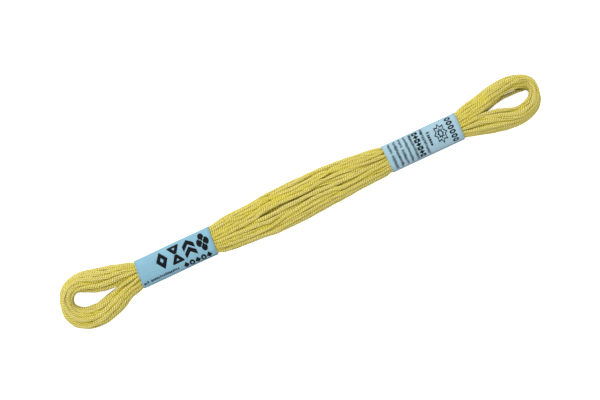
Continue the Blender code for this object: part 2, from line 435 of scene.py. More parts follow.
# ---------------------------------------------------------------- settling the threads


def even_slots(count):
    """Places spread evenly over a round section of radius 1."""
    index = np.arange(count) + 0.5
    reach = np.sqrt(index / count)
    angle = index * math.pi * (3 - math.sqrt(5))
    return np.stack([reach * np.cos(angle), reach * np.sin(angle)], axis=1)


def wandering_slots(stations, rng):
    """The slot of each turn at each station: even at first sight, drifting slowly along."""
    share = round_angles(stations)
    turned = 0.35 * np.sin(2 * share + 0.6) + 0.2 * np.sin(5 * share)
    slots = even_slots(TURNS)
    x = slots[:, None, 0] * np.cos(turned) - slots[:, None, 1] * np.sin(turned)
    y = slots[:, None, 0] * np.sin(turned) + slots[:, None, 1] * np.cos(turned)
    places = np.stack([x, y], axis=2)
    for wave in range(1, 6):
        swing = rng.normal(0, SLOT_WANDER, (2, TURNS, 1, 2))
        phase = (wave * share)[None, :, None]
        places = places + swing[0] * np.cos(phase) + swing[1] * np.sin(phase)
    return places


def drawn_straight(places):
    """The places of all the turns with each turn's bends drawn out along its length."""
    reach = np.arange(-BEND_REACH, BEND_REACH + 1)
    weights = np.exp(-0.5 * (reach / BEND_SPREAD) ** 2)
    weights /= weights.sum()
    return sum(weight * np.roll(places, shift, axis=1) for shift, weight in zip(reach, weights))


def push_apart(points, radius):
    """Moves the runs of each section away from those that they overlap."""
    moved = np.empty_like(points)
    for station, (section, reach) in enumerate(zip(points, radius)):
        gap = section[:, None] - section[None]
        distance = np.sqrt(gap[..., 0] ** 2 + gap[..., 1] ** 2)
        np.fill_diagonal(distance, 1e3)
        overlap = np.maximum(reach[:, None] + reach[None] - distance, 0)
        moved[station] = section + PUSH_SHARE * (gap * (overlap / distance)[..., None]).sum(axis=1)
    return moved


def keep_inside(points, radius, section):
    """Draws threads that reach past the outline of their section back in."""
    middle, half_width, bottom, top, power, lean = (column[:, None] for column in section)
    half_height = (top - bottom + FLAT_SINK) / 2
    middle_height = top - half_height
    side = points[:, :, 0] - middle - lean * (points[:, :, 1] - top / 2)
    up = points[:, :, 1] - middle_height
    reach = (
        np.abs(side / (half_width - radius)) ** power + np.abs(up / (half_height - radius)) ** power
    ) ** (1 / power)
    side = side / np.maximum(reach, 1)
    up = np.maximum(up / np.maximum(reach, 1) + middle_height, bottom + radius)
    return np.stack([side + middle + lean * (up - top / 2), up], axis=2)


def part(y, height, x, radius, top, parting, ahead=None):
    """How far threads at y move sideways to leave a parting open.

    A thread keeps to one side all along a parting: to its front side if it is ahead.
    """
    share = (x - parting.x0) / (parting.x1 - parting.x0)
    inside = (share > 0) & (share < 1)
    if not inside.any():
        return np.zeros_like(y)
    middle = (parting.y0 + (parting.y1 - parting.y0) * share)[:, None]
    if ahead is None:
        ahead = (y - middle)[inside].mean(axis=0) < 0
    side = np.where(ahead, -1.0, 1.0)
    opened = np.sin(math.pi * np.clip(share, 0, 1))[:, None]
    near = inside[:, None] & (height > top[:, None] - parting.depth * opened**0.5)
    need = np.maximum(radius + parting.half_gap * opened - side * (y - middle), 0)
    return np.where(near, side * np.minimum(need, MOST_MOVED), 0.0)


def part_bundle(winding, stations, top, bundle, reach, parting, share=PART_SHARE, ahead=None):
    """How far the threads of an eye's bundle move to leave a parting open along it."""
    moved = np.zeros_like(bundle)
    facing = winding.outward[stations, 1]
    x = winding.x[stations]
    along = (facing * np.sign(parting.y0 + parting.y1) > FACING) & (x > parting.x0) & (x < parting.x1)
    if along.any():
        facing = facing[along, None]
        y = winding.y[stations][along, None] + bundle[along, :, 0] * facing
        shift = part(y, bundle[along, :, 1], x[along], reach[along], top[along], parting, ahead)
        moved[along, :, 0] = share * shift * np.sign(facing)
    return moved


def both_bundles(winding, places, radius):
    """Every run of the straight part: where it lies across the hank, its height and its radius."""
    back, front = winding.back, winding.front
    across = [winding.y[back] + places[:, back, 0], winding.y[front] - places[:, front, 0]]
    heights = [places[:, back, 1], places[:, front, 1]]
    radii = [radius[:, back], radius[:, front]]
    return [np.concatenate(runs) for runs in (across, heights, radii)]


def press_together(winding, places, radius, loose, loose_places, partings=()):
    """Pushes all the runs apart once, and holds them inside the form of the hank.

    The loose ones, a slice of them, keep to their own places beside the slit in the right eye.
    """
    is_loose = np.isin(np.arange(len(places)), np.arange(loose.start, loose.stop))
    back, front = winding.back, winding.front
    runs = len(places)
    across, height, reach = (rows.T for rows in both_bundles(winding, places, radius))
    both = push_apart(np.stack([across, height], axis=2), reach)
    for parting in partings:
        both[:, :, 0] += PART_SHARE * part(
            both[:, :, 0], both[:, :, 1], winding.x[back], reach, winding.body_section.top, parting
        )
    both = keep_inside(both, reach, winding.body_section).transpose(1, 0, 2)
    places[:, back, 0] = both[:runs, :, 0] - winding.y[back]
    places[:, front, 0] = winding.y[front] - both[runs:, :, 0]
    places[:, back, 1] = both[:runs, :, 1]
    places[:, front, 1] = both[runs:, :, 1]
    for stations, section in winding.eye_sections:
        reach = radius[:, stations].T
        bundle = push_apart(places[:, stations].transpose(1, 0, 2), reach)
        about = (winding, stations, section.top, bundle, reach)
        bundle += part_bundle(*about, EYE_SLIT, SLIT_SHARE, is_loose)
        for parting in partings:
            bundle += part_bundle(*about, parting)
        places[:, stations] = keep_inside(bundle, reach, section).transpose(1, 0, 2)
    places[loose] += winding.loose_share[None, :, None] * (loose_places - places[loose])


def settled_turns(winding, rng):
    """The places and radii of all the turns at all the stations, and which turn is loose."""
    slots = wandering_slots(len(winding.x), rng)
    radius = rng.uniform(*RADIUS_RANGE, (TURNS, 1)) * winding.radius
    across = slots[:, :, 0] * (winding.half_width - winding.radius)
    height = winding.top / 2 + slots[:, :, 1] * (winding.top / 2 - winding.radius)
    wanted = np.stack([across, height], axis=2)
    places = wanted.copy()
    lowest = int(wanted[:, winding.slit_stations].sum(axis=2).mean(axis=1).argmin())
    loose = slice(lowest, lowest + 1)
    radius[loose] *= 1 - LOOSE_SLIMNESS * winding.loose_share
    for settling in range(SETTLING_ROUNDS):
        grown = min(1.0, START_SIZE + (1 - START_SIZE) * settling / (GROWING_SHARE * SETTLING_ROUNDS))
        places += STRAIGHTENING * (drawn_straight(places) - places)
        if grown < HOMING_STOPS:
            places += HOMING * (wanted - places)
        for _ in range(PUSHES_A_ROUND):
            press_together(winding, places, grown * radius, loose, winding.loose_places, PARTINGS)
    places = (1 - LAST_STRAIGHTENING) * places + LAST_STRAIGHTENING * drawn_straight(places)
    return places, radius, lowest


def laid_strands(places, radius, at_eye, rng):
    """Where the strands lie, six in a ring round each thread's middle, and their angles there.

    The angles have one more entry than there are stations, for the end of the turn.
    """
    count = places.shape[1]
    share = round_angles(count)
    laid, angles = [], []
    for middle, reach in zip(places, radius):
        lays = rng.integers(*LAYS)
        turned = lays * share + THREAD_TURN * slow_waves(count, range(3, 20), rng)
        for strand in range(STRANDS):
            start = turned + 2 * math.pi * strand / STRANDS
            angle = start + STRAND_TURN * slow_waves(count, range(4, 26, 2), rng)
            uneven = LAY_UNEVEN * slow_waves(count, range(6, 30, 3), rng)
            out = LAY_REACH * reach * (1 + uneven + EYE_REACH * at_eye)
            laid.append(middle + out[:, None] * np.stack([np.cos(angle), np.sin(angle)], axis=1))
            angles.append(np.append(angle, angle[0] + 2 * math.pi * lays))
    return np.array(laid), np.array(angles)


def settled_strands(winding, places, radius, lowest, rng):
    """The places, radii and angles of all the strands, pressed into the gaps between threads."""
    at_eye = eased((np.abs(winding.x) - EYES_START) / (EYES_FULL - EYES_START))
    laid, angles = laid_strands(places, radius, at_eye, rng)
    strand_radius = np.repeat(STRAND_SHARE * radius, STRANDS, axis=0)
    strand_radius = strand_radius * rng.uniform(*STRAND_RANGE, (len(laid), 1))
    places = laid.copy()
    loose = slice(lowest * STRANDS, (lowest + 1) * STRANDS)
    cohesion = COHESION * (1 - EYE_SPREAD * at_eye)
    for _ in range(STRAND_ROUNDS):
        places += cohesion[None, :, None] * (laid - places)
        press_together(winding, places, strand_radius, loose, laid[loose])
    return places, strand_radius, angles


def near_ones(points, radius):
    """How many runs lie close to each run, station by station, the far ones counting less."""
    near = np.empty(points.shape[:2])
    for station in range(points.shape[1]):
        gap = points[:, None, station] - points[None, :, station]
        reach = CROWD_REACH * radius[:, station, None]
        near[:, station] = np.exp(-(gap**2).sum(axis=2) / reach**2).sum(axis=1)
    return near


def crowding(winding, places, radius):
    """How closely the strands lie round each one: 0 on a crest, 1 down in a groove or inside. The floss
    material paints shade and highlights by it.
    """
    across, height, reach = both_bundles(winding, places, radius)
    both = near_ones(np.stack([across, height], axis=2), reach)
    near = np.empty(places.shape[:2])
    near[:, winding.back] = both[:len(places)]
    near[:, winding.front] = both[len(places):]
    for stations, _ in winding.eye_sections:
        near[:, stations] = near_ones(places[:, stations], radius[:, stations])
    return eased((near - CROWD_OPEN) / (CROWD_DEEP - CROWD_OPEN))


# ---------------------------------------------------------------- sweeping the threads


def closed_curve(values, steps):
    """A smooth closed curve through rows of values, with so many points between two rows."""
    share = (np.arange(steps) / steps)[None, :, None]
    dense = on_curve(*(np.roll(values, 1 - i, axis=0)[:, None] for i in range(4)), share)
    return dense.reshape(-1, values.shape[1])


def evenly_spaced(values, pitch):
    """A closed run of places with a radius, spaced evenly, its length and the stations passed."""
    dense = closed_curve(values, CURVE_STEPS)
    dense = np.vstack([dense, dense[:1]])
    reach = reach_along(dense[:, :3])
    count = round(reach[-1] / pitch / BAKE_ROWS_A_STRAND) * BAKE_ROWS_A_STRAND
    wanted = np.arange(count + 1) * reach[-1] / count
    path = np.stack([np.interp(wanted[:-1], reach, column) for column in dense.T], axis=1)
    return path, reach[-1], np.interp(wanted, reach, np.arange(len(dense)) / CURVE_STEPS)


def slow_waves(count, waves, rng):
    """A closed run of numbers that rises and falls slowly, about 1 high."""
    share = round_angles(count)
    run = np.zeros(count)
    for wave in waves:
        run += rng.normal() * np.cos(wave * share + rng.uniform(0, 2 * math.pi))
    return run / math.sqrt(len(waves) / 2)


def ring_round(side, over, count):
    """So many directions round a thread, from pairs of directions that stand square to it."""
    angle = round_angles(count)[:, None]
    return np.cos(angle) * side[:, None] + np.sin(angle) * over[:, None]


def swept_strand(path, rng):
    """The points of one closed strand: a ring of COLUMNS points at each place of its path."""
    middle, radius = path[:, :3], path[:, 3]
    count = len(path)
    along = directions(middle)
    side = unit(np.cross(UP, along))
    over = np.cross(along, side)
    for across in (side, over):
        middle = middle + SWAY * slow_waves(count, range(30, 95, 4), rng)[:, None] * across
    plump = STRAND_PLUMPNESS * (1 + 0.03 * slow_waves(count, range(20, 110, 3), rng))
    return above_ground(middle[:, None] + (radius * plump)[:, None, None] * ring_round(side, over, COLUMNS))


def above_ground(points):
    """Points with those below the surface that the hank lies on brought up to it."""
    points[..., 2] = np.maximum(points[..., 2], 0.0)
    return points


def corner_steps(rings, columns):
    """The ring and the column of each corner of a tube's faces, counted on past the last one."""
    ring, column = (steps.reshape(-1, 1) for steps in np.indices((rings, columns)))
    return ring + (0, 1, 1, 0), column + (0, 0, 1, 1)


def in_cells(count, inside):
    """Lays out so many like sets of corners, one to each cell of a square grid."""
    cells = math.ceil(math.sqrt(count))
    index = np.arange(count)
    cell = np.stack([index % cells, index // cells], axis=1)
    return (cell[:, None, None] + inside) / cells


def strip_map(rings, columns, count, row, rows):
    """Lays a strand out in rows of the square, a like part of its length in each."""
    length = count / BAKE_ROWS_A_STRAND
    part_row = np.floor(rings[:, :1] / length)
    u = ROW_END + (1 - 2 * ROW_END) * (rings / length - part_row)
    v = (row + part_row + ROW_SIDE + (1 - 2 * ROW_SIDE) * columns / COLUMNS) / rows
    return np.stack([u, v], axis=2)


def new_object(name, data):
    """An object of a mesh, a light or a camera, in the scene."""
    made = bpy.data.objects.new(name, data)
    bpy.context.scene.collection.objects.link(made)
    return made


def new_mesh(name, points, faces, surfaces):
    """A mesh object in metres made of points in millimetres."""
    data = bpy.data.meshes.new(name)
    data.from_pydata((np.asarray(points, dtype=np.float32) * MM).tolist(), [], [list(face) for face in faces])
    data.validate()
    data.shade_smooth()
    for surface in surfaces:
        data.materials.append(surface)
    return new_object(name, data)


def add_map(made, name, places):
    """Adds a UV map whose places are given corner by corner."""
    uv = made.data.uv_layers.new(name=name)
    uv.uv.foreach_set("vector", np.asarray(places, dtype=np.float32).ravel())


def add_number(made, name, numbers):
    """Adds a number for each point of a piece."""
    layer = made.data.attributes.new(name, "FLOAT", "POINT")
    layer.data.foreach_set("value", np.asarray(numbers, dtype=np.float32))


def floss_pieces(surface):
    """All the turns of the hank, a few to each piece, and where loose fibres may stand out."""
    winding = Winding()
    rng = np.random.default_rng(7)
    places, radius, lowest = settled_turns(winding, rng)
    places, radius, angles = settled_strands(winding, places, radius, lowest, rng)
    crowded = crowding(winding, places, radius)
    in_a_piece = TURNS_IN_A_PIECE * STRANDS
    pieces, roots = [], []
    for first in range(0, TURNS * STRANDS, in_a_piece):
        strands = []
        total = 0
        for strand in range(first, first + in_a_piece):
            level = (np.stack([winding.x, winding.y]) + winding.outward.T * places[strand, :, 0]).T
            stations = np.column_stack([level, places[strand, :, 1], radius[strand]])
            path, length, passed = evenly_spaced(stations, SWEEP_PITCH)
            count = len(path)
            points = swept_strand(path, rng).reshape(-1, 3)
            roots.append(hair_roots(winding, path, passed[:-1]))
            rings, columns = corner_steps(count, COLUMNS)
            faces = total + rings % count * COLUMNS + columns % COLUMNS
            row = (strand - first) * BAKE_ROWS_A_STRAND
            strip = strip_map(rings, columns, count, row, in_a_piece * BAKE_ROWS_A_STRAND)
            run = round(length / PLY_LENGTH) * PLY_LENGTH * np.arange(count + 1) / count
            angle = np.interp(passed, np.arange(angles.shape[1]), angles[strand])
            uneven = PLY_UNEVEN * slow_waves(count, range(20, 120, 7), rng)
            turned = PLY_LENGTH / math.pi * (angle + rng.normal(0, PLY_START))
            run = run + turned + np.append(uneven, uneven[0])
            thread_run = np.stack([run[rings], columns / COLUMNS], axis=2)
            dye = np.full(len(points), rng.uniform())
            closed = np.append(crowded[strand], crowded[strand, 0])
            crowd = np.repeat(np.interp(passed[:-1], np.arange(len(closed)), closed), COLUMNS)
            strands.append((points, faces, strip, thread_run, dye, crowd))
            total += len(points)
        points, faces, strip, thread_run, dye, crowd = (np.concatenate(each) for each in zip(*strands))
        turn = first // STRANDS
        name = "floss_turns_%d_to_%d" % (turn + 1, turn + TURNS_IN_A_PIECE)
        piece = new_mesh(name, points, faces, [surface])
        add_map(piece, "OFBake", strip)
        add_map(piece, "thread_run", thread_run)
        add_number(piece, "dye", dye)
        add_number(piece, "crowding", crowd)
        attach(piece, "root")
        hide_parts("floss_hank")
        pieces.append(piece)
    return pieces, np.vstack(roots)


def hair_roots(winding, path, passed):
    """Places on a strand where loose fibres may stand out, with the directions away and along."""
    ends = [np.append(column, column[0]) for column in (winding.x, winding.y, winding.top / 2)]
    middle = np.stack([np.interp(passed, np.arange(len(ends[0])), column) for column in ends], axis=1)
    away = path[:, :3] - middle
    reach = np.linalg.norm(away, axis=1)
    away /= reach[:, None]
    along = unit(np.roll(path[:, :3], -1, axis=0) - path[:, :3])
    free = (reach > HAIR_DEPTH) & (under_paper(path[:, 0]) == 0) & (path[:, 2] > LOWEST_HAIR)
    places = path[:, :3] + away * path[:, 3:4]
    return np.hstack([places, away, along])[free]


def loose_fibres(roots, surface):
    """Fine hairs of cotton that stand out from the outer strands and curl back."""
    rng = np.random.default_rng(11)
    each = (HAIRS, 1, 1)
    root, away, along = np.split(roots[rng.choice(len(roots), HAIRS, replace=False)], 3, axis=1)
    aside = np.cross(away, along)
    t = np.linspace(0, 1, HAIR_STEPS + 1)[None, :, None]
    length = rng.uniform(0.7, 3.0, each)
    rise = rng.uniform(0.05, 0.5, each)
    drift = rng.normal(0, 0.35, each)
    curl = rng.normal(0, 0.25, each)
    lift = np.where(rng.uniform(size=each) < 0.5, 2.2 * t * (1 - t), t**1.4)
    middle = (
        root[:, None]
        + length * t * along[:, None]
        + length * rise * lift * away[:, None]
        + length * (drift * t + curl * np.sin(4 * t)) * aside[:, None]
    )
    ring = ring_round(away, aside, HAIR_SIDES)[:, None]
    points = above_ground(middle[:, :, None] + HAIR_RADIUS * (1 - 0.7 * t)[..., None] * ring)
    rings, columns = corner_steps(HAIR_STEPS, HAIR_SIDES)
    first = np.arange(HAIRS)[:, None, None] * (HAIR_STEPS + 1) * HAIR_SIDES
    faces = (first + rings * HAIR_SIDES + columns % HAIR_SIDES).reshape(-1, 4)
    places = in_cells(HAIRS, 0.1 + 0.8 * np.stack([rings, columns], axis=2) / (HAIR_STEPS, HAIR_SIDES))
    piece = new_mesh("loose_cotton_fibres", points.reshape(-1, 3), faces, [surface])
    add_map(piece, "OFBake", places)
    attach(piece, "root")


# ---------------------------------------------------------------- materials


def new_material(name):
    """A material with its node tree and its shader."""
    made = bpy.data.materials.new(name)
    made.use_nodes = True
    return made, made.node_tree, made.node_tree.nodes["Principled BSDF"]


def set_socket(tree, socket, value):
    """Links a socket to another node's output, or gives it a plain value."""
    if isinstance(value, bpy.types.NodeSocket):
        tree.links.new(value, socket)
    else:
        socket.default_value = value


def fill(tree, made, **inputs):
    """Sets or links a node's inputs, named with _ for a space."""
    for name, value in inputs.items():
        set_socket(tree, made.inputs[name.replace("_", " ")], value)
    return made


def add(tree, kind, **inputs):
    """A shader node with its inputs set to values or linked to other nodes' outputs."""
    return fill(tree, tree.nodes.new("ShaderNode" + kind), **inputs)


def maths(tree, operation, first, second=0.0):
    """The result of a Math node."""
    made = tree.nodes.new("ShaderNodeMath")
    made.operation = operation
    set_socket(tree, made.inputs[0], first)
    set_socket(tree, made.inputs[1], second)
    return made.outputs[0]


def times(tree, first, second):
    """The product of two numbers."""
    return maths(tree, "MULTIPLY", first, second)


def ranged(tree, value, low, high, to_low=0.0, to_high=1.0):
    """A number carried over from one range to another."""
    made = add(tree, "MapRange", Value=value, From_Min=low, From_Max=high, To_Min=to_low, To_Max=to_high)
    return made.outputs["Result"]


def between(tree, share, first, second):
    """A colour between two colours."""
    made = tree.nodes.new("ShaderNodeMix")
    made.data_type = "RGBA"
    for socket, value in ((0, share), (6, first), (7, second)):
        set_socket(tree, made.inputs[socket], value)
    return made.outputs[2]


def noise(tree, place, scale, detail, rough=0.5):
    """A soft noise read at a place."""
    return add(tree, "TexNoise", Vector=place, Scale=scale, Detail=detail, Roughness=rough).outputs["Fac"]


def new_group(name, inputs, outputs):
    """A shader node group with named inputs and outputs, and the place of the surface in it."""
    tree = bpy.data.node_groups.new(name, "ShaderNodeTree")
    for label, kind, value in inputs:
        socket = tree.interface.new_socket(name=label, in_out="INPUT", socket_type="NodeSocket" + kind)
        socket.default_value = value
    for label, kind in outputs:
        tree.interface.new_socket(name=label, in_out="OUTPUT", socket_type="NodeSocket" + kind)
    given, put = tree.nodes.new("NodeGroupInput"), tree.nodes.new("NodeGroupOutput")
    return tree, given.outputs, put, add(tree, "TexCoord").outputs["Object"]


def soft_mottle_group():
    """Slow changes from a light to a deep shade over a surface, and a mask of them."""
    tree, given, put, place = new_group(
        "soft_mottle",
        (("Light", "Color", (1, 1, 1, 1)), ("Deep", "Color", (0, 0, 0, 1)), ("Scale", "Float", 100.0)),
        (("Colour", "Color"), ("Mask", "Float")),
    )
    mask = ranged(tree, noise(tree, place, given["Scale"], 3.0, 0.6), 0.3, 0.7)
    fill(tree, put, Colour=between(tree, mask, given["Light"], given["Deep"]), Mask=mask)
    return tree


def fine_grain_group():
    """The height of a fine even grain, such as that of paper or a painted board."""
    tree, given, put, place = new_group("fine_grain", (("Scale", "Float", 4000.0),), (("Height", "Float"),))
    fill(tree, put, Height=noise(tree, place, given["Scale"], 4.0, 0.7))
    return tree


def placed(tree, group, **inputs):
    """The outputs of a node group placed in a material with its own values."""
    made = tree.nodes.new("ShaderNodeGroup")
    made.node_tree = group
    return fill(tree, made, **inputs).outputs


def floss_surface(mottle):
    """Dyed mercerised cotton: strands of two plies of fine fibres, with a painted highlight on the crests of
    the plies and painted shade in their clefts and in the grooves between strands.

    The map thread_run gives the millimetres along a strand and the share of the way round it.
    """
    made, tree, shader = new_material("dyed_cotton_floss")
    run = tree.nodes.new("ShaderNodeUVMap")
    run.uv_map = "thread_run"
    split = add(tree, "SeparateXYZ", Vector=run.outputs["UV"])
    along, around = split.outputs["X"], split.outputs["Y"]
    numbers = []
    for name in ("dye", "crowding"):
        number = tree.nodes.new("ShaderNodeAttribute")
        number.attribute_name = name
        numbers.append(number.outputs["Fac"])
    dye, crowd = numbers
    twist = maths(tree, "ADD", times(tree, along, math.pi / PLY_LENGTH), times(tree, around, 2 * math.pi))
    ply = maths(tree, "POWER", maths(tree, "ABSOLUTE", maths(tree, "SINE", twist)), 0.9)
    slant = maths(tree, "ADD", times(tree, around, 34.0), times(tree, along, 8.0))
    apart = times(tree, dye, 50.0)
    fibres = noise(tree, add(tree, "CombineXYZ", X=along, Y=slant, Z=apart).outputs["Vector"], 1.0, 4.0)
    patches = add(tree, "CombineXYZ", X=times(tree, along, 0.9), Y=times(tree, around, 3.0), Z=apart)
    uneven = noise(tree, patches.outputs["Vector"], 1.0, 2.0)
    streak = ranged(tree, fibres, 0.35, 0.7)
    # painted highlight: a whitish colour on the crests of the plies where the fibres streak, kept off the
    # crowded strands down in the grooves
    painted_highlight = times(tree, times(tree, ply, ply), streak)
    open_to_light = maths(tree, "SUBTRACT", 1.0, times(tree, crowd, 0.75))
    shades = placed(tree, mottle, Light=(0.88, 0.775, 0.035, 1), Deep=(0.81, 0.70, 0.025, 1), Scale=180.0)
    colour = shades["Colour"]
    for share, tint in (
        (times(tree, dye, 0.4), (0.86, 0.78, 0.07, 1)),
        (ranged(tree, uneven, 0.62, 0.38, 0.0, 0.32), (0.64, 0.53, 0.02, 1)),
        (times(tree, maths(tree, "SUBTRACT", 1.0, streak), 0.4), (0.50, 0.39, 0.01, 1)),
        # painted shade: crowded strands down in the grooves made darker and deeper yellow
        (times(tree, crowd, 0.45), (0.76, 0.65, 0.008, 1)),
        # painted highlight on the ply crests of the open strands
        (times(tree, painted_highlight, open_to_light), (0.99, 0.93, 0.74, 1)),
        # painted shade: the clefts between the plies darkened
        (times(tree, maths(tree, "SUBTRACT", 1.0, ply), 0.85), (0.32, 0.24, 0.001, 1)),
    ):
        colour = between(tree, share, colour, tint)
    height = maths(tree, "ADD", ply, times(tree, fibres, 0.5))
    bump = add(tree, "Bump", Height=height, Strength=1.0, Distance=0.00009)
    fill(
        tree, shader,
        Base_Color=colour, Roughness=ranged(tree, fibres, 0.3, 0.7, 0.38, 0.58),
        Normal=bump.outputs["Normal"], Specular_IOR_Level=times(tree, ply, 0.4),
        Sheen_Weight=times(tree, ply, 0.08), Sheen_Roughness=0.5, Sheen_Tint=(1, 0.98, 0.88, 1),
    )
    return made


def loose_fibre_surface(mottle):
    """Single fibres of cotton, paler than the strands because light passes through them."""
    made, tree, shader = new_material("loose_cotton_fibre")
    shades = placed(tree, mottle, Light=(0.88, 0.82, 0.36, 1), Deep=(0.84, 0.76, 0.22, 1), Scale=500.0)
    rough = ranged(tree, shades["Mask"], 0.0, 1.0, 0.45, 0.65)
    fill(tree, shader, Base_Color=shades["Colour"], Roughness=rough, Specular_IOR_Level=0.5)
    return made


def grained_surface(name, mottle, grain, light, deep, scale, fine_scale, strength, depth, rough, specular,
                    specks=None):
    """A matt surface of two close shades with a fine raised grain.

    A pair of roughnesses follows the mottle. Specks are a third colour where the grain is
    high: where they start, where they are full, how strong they are and the colour.
    """
    made, tree, shader = new_material(name)
    shades = placed(tree, mottle, Light=(*light, 1), Deep=(*deep, 1), Scale=scale)
    height = placed(tree, grain, Scale=fine_scale)["Height"]
    colour = shades["Colour"]
    if specks:
        start, full, share, tint = specks
        colour = between(tree, times(tree, ranged(tree, height, start, full), share), colour, (*tint, 1))
    if isinstance(rough, tuple):
        rough = ranged(tree, shades["Mask"], 0.0, 1.0, *rough)
    bump = add(tree, "Bump", Height=height, Strength=strength, Distance=depth)
    fill(
        tree, shader,
        Base_Color=colour, Roughness=rough, Normal=bump.outputs["Normal"], Specular_IOR_Level=specular,
    )
    return made


def paper_surface(name, light, deep, mottle, grain):
    """Thin matt paper, printed pale blue."""
    return grained_surface(
        name, mottle, grain, light, deep, scale=260.0, fine_scale=5200.0, strength=0.5, depth=0.00002,
        rough=(0.6, 0.7), specular=0.3, specks=(0.35, 0.65, 0.12, (0.38, 0.60, 0.72)),
    )


def bare_paper_surface(mottle, grain):
    """The unprinted paper: the band's inner side and cut edges."""
    return grained_surface(
        "bare_paper", mottle, grain, (0.70, 0.74, 0.76), (0.62, 0.67, 0.70), scale=300.0,
        fine_scale=4200.0, strength=0.6, depth=0.00003, rough=0.75, specular=0.25,
    )


def ink_surface(mottle, grain):
    """Black printing ink, slightly uneven where the paper takes less of it."""
    return grained_surface(
        "printing_ink", mottle, grain, (0.006, 0.008, 0.011), (0.003, 0.004, 0.006), scale=900.0,
        fine_scale=6500.0, strength=0.4, depth=0.00002, rough=0.65, specular=0.1,
        specks=(0.55, 0.75, 0.03, (0.14, 0.24, 0.30)),
    )


def floor_surface(mottle, grain):
    """A plain white board."""
    made = grained_surface(
        "white_board", mottle, grain, (0.93, 0.93, 0.93), (0.91, 0.91, 0.91), scale=8.0,
        fine_scale=900.0, strength=0.2, depth=0.00005, rough=0.8, specular=0.2,
    )
    tree = made.node_tree
    seen = times(tree, add(tree, "LightPath").outputs["Is Camera Ray"], 0.85)
    fill(tree, tree.nodes["Principled BSDF"], Emission_Color=(1, 1, 1, 1), Emission_Strength=seen)
    return made


# ---------------------------------------------------------------- the printed marks

# The corners of two marks, as shares of their half size.
FOUR_POINTS = ((0, -1), (1, 0), (0, 1), (-1, 0))
BOX = ((-1, -1), (1, -1), (1, 1), (-1, 1))


def shape(x, y, across, tall, corners):
    """A closed loop through corners given as shares of a mark's half size."""
    return np.array([(x + across / 2 * u, y + tall / 2 * v) for u, v in corners])


def ellipse(x, y, across, tall, points=20):
    """A closed loop round an ellipse, given its middle and its full sizes."""
    angles = np.linspace(0, 2 * math.pi, points, endpoint=False)
    return shape(x, y, across, tall, zip(np.cos(angles), np.sin(angles)))


def lozenge(x, y, across, tall):
    """A tall ring with four corners."""
    inner = ((0, -0.3), (0.28, 0), (0, 0.3), (-0.28, 0))
    return [shape(x, y, across, tall, corners) for corners in (FOUR_POINTS, inner)]


def hourglass(x, y, across, tall):
    """Two open triangles that stand tip to tip."""
    upper = ((0.2, 0.03), (1, 0.86), (1, 1), (-1, 1), (-1, 0.86), (-0.2, 0.03))
    hole = ((0, 0.46), (0.26, 0.72), (-0.26, 0.72))
    return [shape(x, y, across, high, corners) for high in (tall, -tall) for corners in (upper, hole)]


def arrows(x, y, across, tall):
    """Two thick arrow heads, one over the other."""
    head = ((-1, -0.44), (0, 0.16), (1, -0.44), (1, 0.14), (0, 0.74), (-1, 0.14))
    low = [(u, v - 0.56) for u, v in head]
    high = [(u, v + 0.26) for u, v in head]
    return [shape(x, y, across, tall, corners) for corners in (low, high)]


def blossom(x, y, across, tall):
    """Four petals round an open middle."""
    petals = ((0, 0.58), (0.56, 0), (0, -0.58), (-0.56, 0))
    return [ellipse(x + across * u / 2, y + tall * v / 2, across * 0.48, tall * 0.44) for u, v in petals]


def star(x, y, across, tall, points, inner):
    """A star with so many points."""
    angles = math.pi * np.arange(2 * points) / points + math.pi / 2
    reach = np.where(np.arange(2 * points) % 2, inner, 1.0)
    return np.stack([x + across / 2 * reach * np.cos(angles), y + tall / 2 * reach * np.sin(angles)], axis=1)


def dash_row(x, y, length, tall, pitch, rng, upright=False):
    """A row of small dashes of uneven length, along the band or, upright, across it."""
    marks = []
    place = -length / 2
    while place < length / 2 - 0.2:
        dash = min(rng.uniform(0.55, 0.82) * pitch, length / 2 - place)
        shift = rng.uniform(-0.12, 0.12) * tall
        high = tall * rng.uniform(0.7, 1.0)
        if rng.uniform() > 0.04:
            if upright:
                marks.append(shape(x + shift, y + place + dash / 2, high, dash, BOX))
            else:
                marks.append(shape(x + place + dash / 2, y + shift, dash, high, BOX))
        place += pitch * rng.uniform(0.92, 1.1)
    return marks


def left_print(middle):
    """The marks of the left band, round the line along the middle of its top."""
    rng = np.random.default_rng(31)
    marks = []
    for mark, x in ((lozenge, -46.95), (hourglass, -42.29), (arrows, -37.63), (blossom, -33.0)):
        marks += mark(x, middle + 0.93, 3.9, 5.8)
    for index in range(5):
        x = -40.5 + 1.95 * index
        y = middle - 3.85
        if index % 2:
            marks += [ellipse(x, y, 1.8, 2.4, 16), ellipse(x, y, 0.6, 1.0, 12)]
        else:
            marks.append(shape(x, y, 1.9, 2.6, FOUR_POINTS))
    marks += dash_row(-49.1, middle - 3.6, 12.0, 1.0, 0.6, rng)
    return marks


